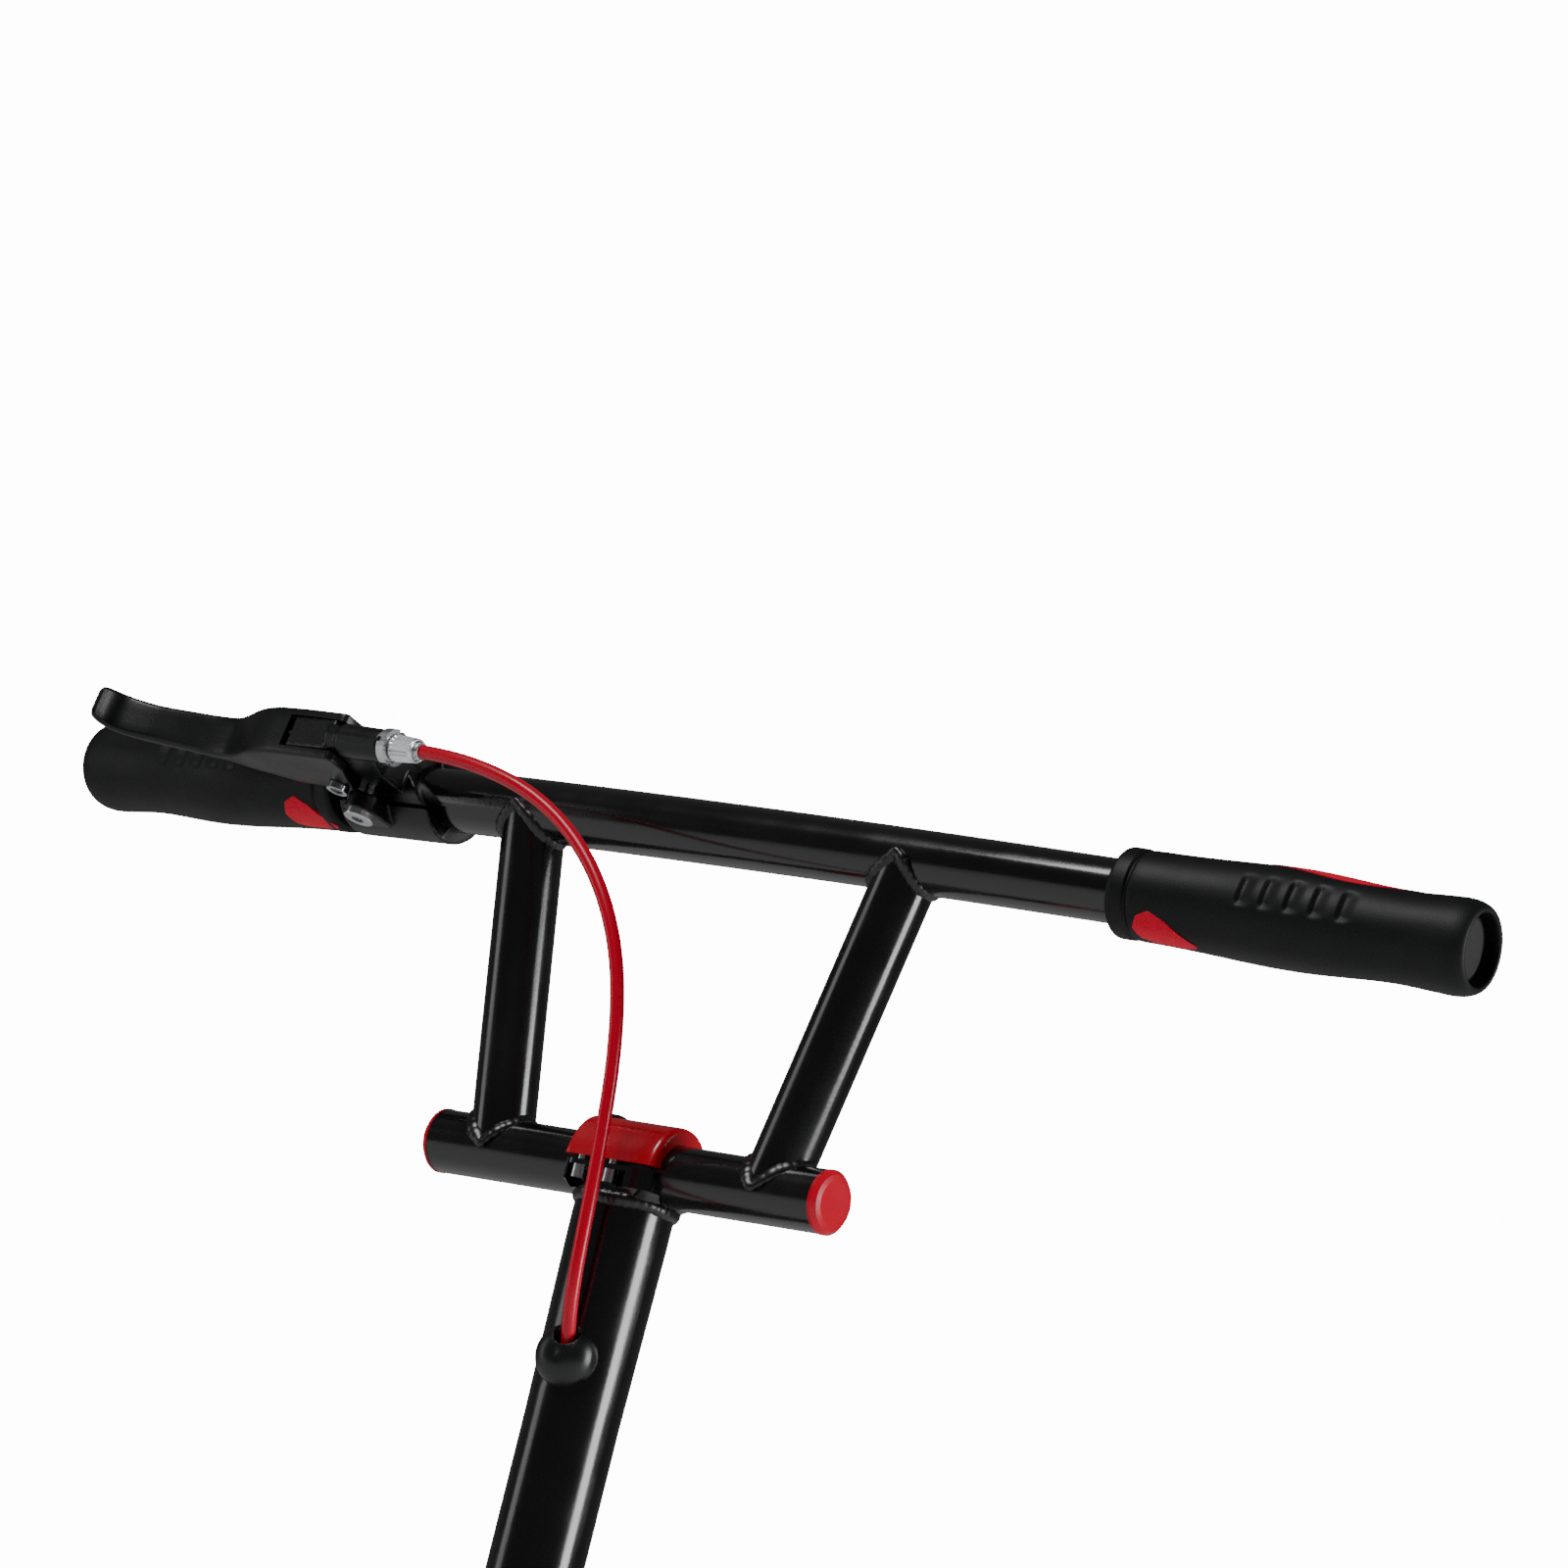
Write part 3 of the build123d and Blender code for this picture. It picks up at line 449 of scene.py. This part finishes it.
# a finer loft between the stations
fine = []
for i in range(len(rings) - 1):
    before, here, after, beyond = rings[max(i - 1, 0)], rings[i], rings[i + 1], rings[min(i + 2,
                                                                                          len(rings) - 1)]
    for step in range(4):
        t = step / 4
        fine.append([p1 + ((p2 - p0) * t + (p0 * 2 - p1 * 5 + p2 * 4 - p3) * t * t
                           + (p1 * 3 - p0 - p2 * 3 + p3) * t ** 3) / 2
                     for p0, p1, p2, p3 in zip(before, here, after, beyond)])
fine.append(rings[-1])
lever = skin("brake_lever_skin", fine, lever_plastic)
nipple_y = -40.6 - 50.5 * sin(radians(4)) / cos(radians(4))
carve(lever, [
    block("fork_gap", [(-3.5, -60), (40, -60), (40, 0), (-3.5, 0)], -6.0, 6.0),
    block("rear_gap", [(-3.4, -10), (-3.4, -38.5), (-14, -34), (-22, -30), (-22, -10)], -5.98, 5.98),
    block("pivot_hole", disc(pivot_x, pivot_y, 3.05), -12, 12),
    block("wire_slit", [(-9, nipple_y - 1.5), (-1, nipple_y - 1.5), (-1, nipple_y + 2.3),
                        (-9, nipple_y + 2.3)], -1.3, 1.3),
], lever_plastic)
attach(lever, "lever")
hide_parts("brake_lever")
# the wire's nipple sits in the root, out of sight
nipple = block("cable_nipple_skin", disc(-8.0, nipple_y, 2.1, 32), -4.4, 4.4)
nipple.data.materials[0] = zinc
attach(nipple, "lever")
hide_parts("cable_nipple")

# ---------------------------------------------------------------- lever perch
# Moulded in one from the same nylon: band round the bar, tongue, arm, cable boss and the ear for the band
# screw, all edges soft. Zinc plated screws and a nut hold band and pivot; a steel spring sits in the tongue.
sleeve = []
for end in (0, 1):
    for radius in ((9.0, 15.0, 15.6) if end == 0 else (15.6, 15.0, 9.0)):
        ring = []
        for k in range(96):
            a = k * 2 * pi / 96
            y, z = radius * cos(a), radius * sin(a)
            reach = 43.0 if y > 0 else min(43.0, 33.0 - z if z < 3 else 30.0 - 3.0 * (z - 3) / 17)
            x = (reach - 0.3 * (radius > 15.1)) if end else -1.5 + 0.3 * (radius > 15.1)
            ring.append(from_lever(x, y, z))
        sleeve.append(ring)
shapes = [
    skin("band", sleeve, lever_plastic),
    block("ear", [(10.6, -6.0)] + [(17.0 - 6.4 * cos(k * pi / 24),
                                    -16.8 - 6.4 * sin(k * pi / 24)) for k in range(25)]
          + [(23.4, -6.0)], -16.0, -9.8),
    block("arm", [(3, -4), (2.5, -24), (1.8, -29), (-1.2, -33), (-1.2, -46.2), (19, -46.2), (19, -41),
                  (36, -41),
                  (36, -36), (31, -27), (30, -4)], -5.6, 5.6),
]
for label, x, radius in (("seat", 17.0, 5.5), ("boss", 22.8, 6.0)):
    shapes.append(skin(label, [[on_barrel(at, radius, k * 2 * pi / 48) for k in range(48)] for at in (x,
                                                                                                      42.5)],
                       lever_plastic))
whole = bmesh.new()
for shape in shapes:
    whole.from_mesh(shape.data)
mesh = bpy.data.meshes.new("lever_perch_skin")
whole.to_mesh(mesh)
whole.free()
for shape in shapes:
    bpy.data.objects.remove(shape)
perch = bpy.data.objects.new("lever_perch_skin", mesh)
bpy.context.scene.collection.objects.link(perch)
remesh = perch.modifiers.new("merge", "REMESH")
remesh.mode = "VOXEL"
remesh.voxel_size = 0.00045
relax = perch.modifiers.new("soften", "SMOOTH")
relax.factor = 0.5
relax.iterations = 5
apply_modifiers(perch)
bar_core = skin("bar_core", [[bar_point(-0.17 + i * 0.005)
                              + (Vector((-bar_tangent(-0.17 + i * 0.005).y,
                                         bar_tangent(-0.17 + i * 0.005).x, 0)) * cos(a)
                                 + Vector((0, 0, 1)) * sin(a)) * 0.01114
                              for a in [k * 2 * pi / 96 for k in range(96)]] for i in range(14)],
                              lever_plastic)
carve(perch, [
    bar_core,
    block("split", [(-10, -29), (50, -29), (50, -5), (-10, -5)], -9.8, -8.6),
    block("pivot_hole", disc(pivot_x, pivot_y, 3.05), -12, 12),
    block("spring_seat", disc(pivot_x, pivot_y, 4.9), 2.2, 12),
    block("screw_hole", disc(17.0, -16.8, 2.1), -23, 7),
    skin("wire_bore", [[on_barrel(at, 1.2, k * 2 * pi / 24) for k in range(24)] for at in (-3, 50)],
         lever_plastic),
    block("wire_slot", [(-3, -52), (14.4, -52), (14.4, -38.2), (-3, -38.2)], -1.19, 1.19),
    skin("thread_bore", [[on_barrel(at, 3.05, k * 2 * pi / 48) for k in range(48)] for at in (26, 50)],
         lever_plastic),
], lever_plastic)
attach(perch, "handlebar")
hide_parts("lever_perch")
bright_wire = finish("steel wire", "b9bbbd", 0.3, metallic=1.0)
dress(zinc, ["band_screw", "pivot_screw", "pivot_nut"])
dress(bright_wire, ["return_spring"])

# ---------------------------------------------------------------- barrel adjuster
# Tumbled aluminium with a straight knurl on its head; hollow for the cable's ferrule and the wire.
# The slotted ring behind it and the ferrule in it are zinc plated.
cast_alloy = finish("tumbled aluminium", "eef0f2", 0.30, metallic=1.0, grain=0.2, grain_size=1400.0,
                    wear=0.08)
dress(zinc, ["lock_ring", "upper_ferrule"])


def knurl(x, r, turn):
    on_head = smooth_step(47.1, 48.0, x) * (1 - smooth_step(55.6, 56.6, x))
    return 0.38 * on_head * (0.5 + 0.5 * cos(22 * turn)) ** 0.7 if r > 4.2 else 0.0


adjuster_outline = [(29.0, 1.25), (29.0, 2.8), (29.3, 3.0), (46.9, 3.0), (46.9, 4.6), (47.2, 4.95)]
adjuster_outline += [(47.2 + 0.47 * k, 4.97 - 0.0615 * 0.47 * k) for k in range(1, 21)]
adjuster_outline += [(56.9, 4.3), (57.05, 4.0), (57.05, 3.3), (50.9, 3.28), (50.9, 1.25)]
adjuster = lathe("barrel_adjuster_skin", adjuster_outline, cast_alloy, count=176, cut=knurl)
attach(adjuster, "adjuster")
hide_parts("barrel_adjuster")

# ---------------------------------------------------------------- inner wire
# Bare steel strands between the boss and the lever's nipple; the other end of the
# wire comes out below the foot plug.
wire = skin("brake_wire_skin", [[on_barrel(-8.0 + i * 1.48,
                                           0.75 + 0.05 * cos(6 * (k * pi / 12 + i * 0.35)), k * pi / 12)
                                 for k in range(24)] for i in range(41)], bright_wire)
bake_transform(wire)
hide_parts("brake_wire")
dress(bright_wire, ["wire_lower_end"])

# ---------------------------------------------------------------- brake cable
# Red plastic housing on its whole route: out of the adjuster, down past the clamp, through the grommet and
# down the column to its zinc plated ferrule in the plug.
sheath = finish("red cable sheath", "b80024", 0.25, grain=0.05, specular=0.35)
dress(zinc, ["lower_ferrule"])
cable_points = [
    (-0.11432, -0.03615, 0.62830), (-0.09783, -0.03656, 0.62806), (-0.0760, -0.0360, 0.6249),
    (-0.0570, -0.0353, 0.6194),
    (-0.0395, -0.0347, 0.6104), (-0.0246, -0.0340, 0.5982), (-0.0128, -0.0332, 0.5836),
    (-0.0042, -0.0322, 0.5670), (0.0010, -0.0312, 0.5490), (0.0039, -0.0299, 0.5300),
    (0.0049, -0.0285, 0.5110), (0.0055, -0.0271, 0.4920), (0.0059, -0.0262, 0.4730),
    (0.0061, -0.0250, 0.4580), (0.0055, -0.0219, 0.4440), (0.0032, -0.0129, 0.4270),
    (0.0016, -0.0056, 0.4050), (0.0007, -0.0016, 0.3830), (0.0002, 0.0009, 0.3500),
    (0.0000, 0.0022, 0.3050), (-0.0002, 0.0034, 0.2500), (-0.0002, 0.0032, 0.1900),
    (-0.0001, 0.0019, 0.1300), (0.0000, 0.0004, 0.0750), (0.0, 0.0, 0.0360), (0.0, 0.0, 0.0091),
]
line = bpy.data.curves.new("cable_line", "CURVE")
line.dimensions = "3D"
line.resolution_u = 10
spline = line.splines.new("NURBS")
spline.points.add(len(cable_points) - 1)
for point, place in zip(spline.points, cable_points):
    point.co = (*place, 1.0)
spline.order_u = 3
spline.use_endpoint_u = True
housing = bpy.data.node_groups.new("cable housing", "GeometryNodeTree")
housing.interface.new_socket("Line", in_out="INPUT", socket_type="NodeSocketGeometry")
housing_radius = housing.interface.new_socket("Radius", in_out="INPUT", socket_type="NodeSocketFloat")
housing.interface.new_socket("Housing", in_out="OUTPUT", socket_type="NodeSocketGeometry")
given = add_node(housing, "NodeGroupInput")
profile = add_node(housing, "GeometryNodeCurvePrimitiveCircle", Resolution=20,
                   Radius=given.outputs["Radius"])
tube = add_node(housing, "GeometryNodeCurveToMesh", Curve=given.outputs["Line"], Fill_Caps=True)
housing.links.new(profile.outputs["Curve"], tube.inputs["Profile Curve"])
soft = add_node(housing, "GeometryNodeSetShadeSmooth", Geometry=tube.outputs["Mesh"])
real = add_node(housing, "GeometryNodeRealizeInstances", Geometry=soft.outputs["Geometry"])
coloured = add_node(housing, "GeometryNodeSetMaterial", Geometry=real.outputs["Geometry"], Material=sheath)
add_node(housing, "NodeGroupOutput", Housing=coloured.outputs["Geometry"])
line_object = bpy.data.objects.new("cable_line", line)
bpy.context.scene.collection.objects.link(line_object)
tube_maker = line_object.modifiers.new("housing", "NODES")
tube_maker.node_group = housing
tube_maker[housing_radius.identifier] = 0.0025
bpy.context.view_layer.update()
mesh = bpy.data.meshes.new_from_object(line_object.evaluated_get(bpy.context.evaluated_depsgraph_get()))
bpy.data.objects.remove(line_object)
cable = bpy.data.objects.new("brake_cable_skin", mesh)
bpy.context.scene.collection.objects.link(cable)
# the last stretch at the ferrule is a piece of its own
stub = bpy.data.objects.new("brake_cable_stub_skin", mesh.copy())
bpy.context.scene.collection.objects.link(stub)
for part, way in ((cable, (-1, 0, 0)), (stub, (1, 0, 0))):
    shape = bmesh.new()
    shape.from_mesh(part.data)
    cut = bmesh.ops.bisect_plane(shape, geom=shape.verts[:] + shape.edges[:] + shape.faces[:],
                                 plane_co=(-0.0985, 0, 0), plane_no=way, clear_outer=True)["geom_cut"]
    bmesh.ops.edgeloop_fill(shape, edges=[e for e in cut if isinstance(e, bmesh.types.BMEdge)])
    bmesh.ops.recalc_face_normals(shape, faces=shape.faces)
    shape.to_mesh(part.data)
    shape.free()
    part.data.set_sharp_from_angle(angle=radians(60))
    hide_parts("brake_cable")
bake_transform(cable)
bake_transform(stub)

# ---------------------------------------------------------------- cable grommet
# A soft black rubber dome in the column's slot, hollowed to a cup where the cable comes in.
# It is pressed into the slot and held by its lips.
soft_rubber = finish("black grommet rubber", "050607", 0.35, grain=0.2, grain_size=1500.0)
cup = bpy.data.objects.new("cable_grommet_skin", nodes["cable_grommet"].data.copy())
bpy.context.scene.collection.objects.link(cup)
mouth, way = Vector((0.0051, -0.0205, 0.4390)), Vector((0.0006, -0.0031, 0.0140)).normalized()
across = way.cross(Vector((1, 0, 0))).normalized()
beside = way.cross(across)
carve(cup, [skin("cup_hollow", [[mouth + way * (d / 1000) + (across * cos(a) + beside * sin(a)) * (r / 1000)
                                 for a in [k * 2 * pi / 48 for k in range(48)]]
                                for d, r in ((-4.0, 2.8), (-2.5, 4.3), (0.0, 4.9), (8.0, 5.6))],
                                soft_rubber)], soft_rubber)
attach(cup, "column")
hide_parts("cable_grommet")

# ---------------------------------------------------------------- camera
# A long lens low in front and to the rider's left of the column, rolled so that the column leans back.
camera = bpy.data.objects.new("camera", bpy.data.cameras.new("camera"))
bpy.context.scene.collection.objects.link(camera)
camera.data.sensor_width = 36.0
camera.data.lens = 235.6
camera.data.clip_start = 0.5
camera.data.clip_end = 30.0
right = Vector((0.78157, 0.57603, 0.23944))
upward = Vector((-0.10125, -0.26160, 0.95985))
back = Vector((0.61554, -0.77444, -0.14613))
camera.matrix_world = (Matrix.Translation((2.18398, -2.71943, 0.12704))
                       @ Matrix((right, upward, back)).transposed().to_4x4())
bpy.context.scene.camera = camera

# ---------------------------------------------------------------- light and floor
# White surroundings for the camera, darker ones for what the glossy tubes mirror, soft lamps and
# a pale floor.
world = bpy.data.worlds.new("studio")
bpy.context.scene.world = world
world.use_nodes = True
tree = world.node_tree
tree.nodes.clear()
seen = add_node(tree, "ShaderNodeLightPath").outputs["Is Camera Ray"]
around = add_node(tree, "ShaderNodeBackground", Strength=0.09)
around.inputs["Color"].default_value = (1, 1, 1, 1)
behind = add_node(tree, "ShaderNodeBackground", Strength=14.0)
behind.inputs["Color"].default_value = (1, 1, 1, 1)
both = add_node(tree, "ShaderNodeMixShader", Fac=seen)
tree.links.new(around.outputs[0], both.inputs[1])
tree.links.new(behind.outputs[0], both.inputs[2])
out = add_node(tree, "ShaderNodeOutputWorld")
tree.links.new(both.outputs[0], out.inputs["Surface"])


def softbox(name, at, aim, size, power):
    """A rectangular lamp at a point, facing another."""
    lamp = bpy.data.lights.new(name, "AREA")
    lamp.shape = "RECTANGLE"
    lamp.size, lamp.size_y = size
    lamp.energy = power
    lamp.use_shadow = True
    holder = bpy.data.objects.new(name, lamp)
    bpy.context.scene.collection.objects.link(holder)
    holder.location = at
    holder.rotation_euler = (Vector(aim) - Vector(at)).to_track_quat("-Z", "Y").to_euler()
    holder.visible_camera = False
    return holder


softbox("key softbox", (2.37, 0.79, 0.9), (0, 0, 0.5), (0.9, 1.6), 70)
softbox("top softbox", (-0.4, -1.6, 2.6), (0, 0, 0.6), (1.6, 0.8), 55)
softbox("left softbox", (-2.2, -1.4, 0.7), (0, 0, 0.5), (0.8, 1.6), 7)

floor_mesh = bpy.data.meshes.new("floor")
floor_mesh.from_pydata([(-3, -3, -0.026), (3, -3, -0.026), (3, 3, -0.026), (-3, 3, -0.026)], [],
                       [(0, 1, 2, 3)])
floor = bpy.data.objects.new("floor", floor_mesh)
bpy.context.scene.collection.objects.link(floor)
floor_mesh.materials.append(finish("pale studio floor", "e9e9ea", 0.7))
